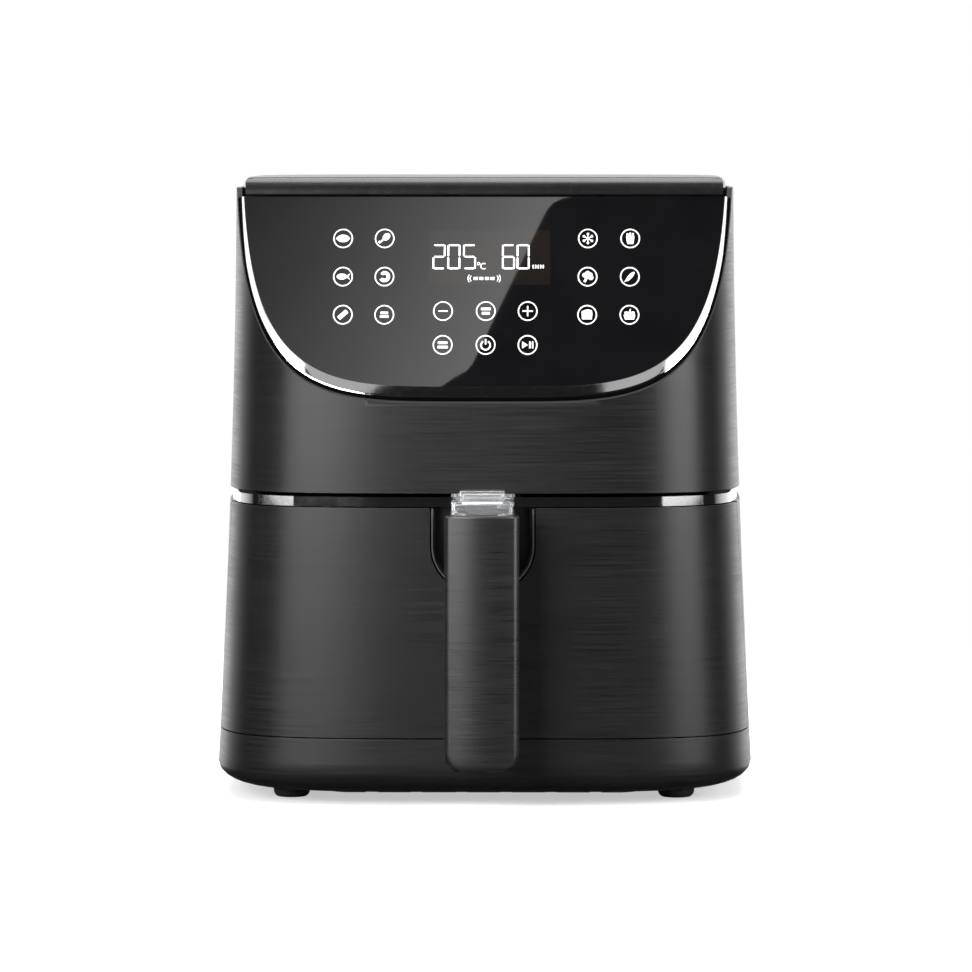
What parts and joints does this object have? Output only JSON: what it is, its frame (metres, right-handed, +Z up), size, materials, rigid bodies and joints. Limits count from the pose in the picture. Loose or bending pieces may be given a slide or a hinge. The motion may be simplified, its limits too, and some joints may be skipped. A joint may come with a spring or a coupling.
{
  "type": "air fryer",
  "caption": "Counter-top air fryer: squircle barrel body with a sloped touch panel, chrome band, and a pull-out drawer holding a perforated basket with an upright handle.",
  "frame": {"origin": "on the table, under the centre of the overall bounding box", "axes": "+Z up; the user stands at -Y, where the handle is; +X is to the user's right"},
  "size_m": [0.281, 0.347, 0.322],
  "materials": {
    "body_black": "fine horizontal brushed texture, satin",
    "gloss_black": "gloss",
    "handle_black": "upright brushed, semi-gloss",
    "panel_glass": "mirror-gloss black panel",
    "chrome": "polished",
    "inner_plastic": "moulded, matt",
    "white_plastic": "moulded",
    "board_green": "printed circuit board",
    "rubber": "moulded rubber",
    "nonstick": "non-stick coating on steel sheet",
    "sheet_steel": "plain sheet",
    "bright_steel": "bright",
    "element_steel": "oxidised sheath",
    "aluminium": "mill finish",
    "brass": "plain",
    "clear_plastic": "clear moulding"
  },
  "bodies": {
    "housing": {"top_cover": "gloss_black", "control_panel": "panel_glass", "panel_trim": "chrome", "panel_tray": "inner_plastic", "touch_board": "board_green", "display_module": "white_plastic", "upper_housing": "body_black", "chrome_band": "chrome", "lower_housing": "body_black", "base_plate": "inner_plastic", "rubber_feet": "rubber", "rear_outlet_grille": "inner_plastic", "cord_gland": "rubber", "front_frame": "inner_plastic", "bay_floor": "inner_plastic", "bay_liner": "sheet_steel", "chamber_deck": "inner_plastic", "hot_air_chamber": "sheet_steel", "exhaust_duct": "sheet_steel", "heating_element": "element_steel", "element_clips": "sheet_steel", "temperature_sensor": "bright_steel", "thermal_cutout": "white_plastic", "heat_shield": "aluminium", "motor_bracket": "sheet_steel", "motor": "sheet_steel", "board_bracket": "sheet_steel", "power_board": "board_green", "drawer_switch": "inner_plastic"},
    "fan": {"motor_shaft": "bright_steel", "hot_air_fan": "aluminium", "fan_nut": "brass", "cooling_fan": "inner_plastic"},
    "drawer": {"drawer_front": "body_black", "drawer_frame": "inner_plastic", "handle_pocket": "gloss_black", "pan": "nonstick", "drawer_screws": "bright_steel", "latch_catch": "bright_steel", "basket": "nonstick", "basket_strap": "bright_steel", "handle_core": "gloss_black", "handle_cover": "handle_black", "handle_screws": "bright_steel", "latch_pin": "bright_steel", "button_spring": "bright_steel"},
    "latch": {"release_latch": "bright_steel"},
    "button": {"release_button": "gloss_black"},
    "cover": {"button_cover": "clear_plastic"}
  },
  "joints": [
    {"name": "drawer_slide", "type": "slide", "parent": "housing", "child": "drawer", "axis": [0, -1, 0], "range_m": [0, 0.225]},
    {"name": "button_press", "type": "slide", "parent": "drawer", "child": "button", "axis": [0, 0, -1], "range_m": [0, 0.0025], "stiffness_N_per_m": 400, "springref_m": -0.004, "deforming": ["button_spring"]},
    {"name": "latch_pivot", "type": "hinge", "parent": "drawer", "child": "latch", "pos_m": [0, -0.14151, 0.14], "axis": [-1, 0, 0], "range_deg": [0, 16]},
    {"name": "cover_slide", "type": "slide", "parent": "drawer", "child": "cover", "axis": [0, -1, 0], "range_m": [0, 0.014]},
    {"name": "fan_spin", "type": "hinge", "parent": "housing", "child": "fan", "pos_m": [0, 0.0225, 0.2], "axis": [0, 0, 1], "continuous": true}
  ],
  "couplings": [
    {"joint": "latch_pivot", "follows": "button_press", "rad_per_m": 111}
  ]
}
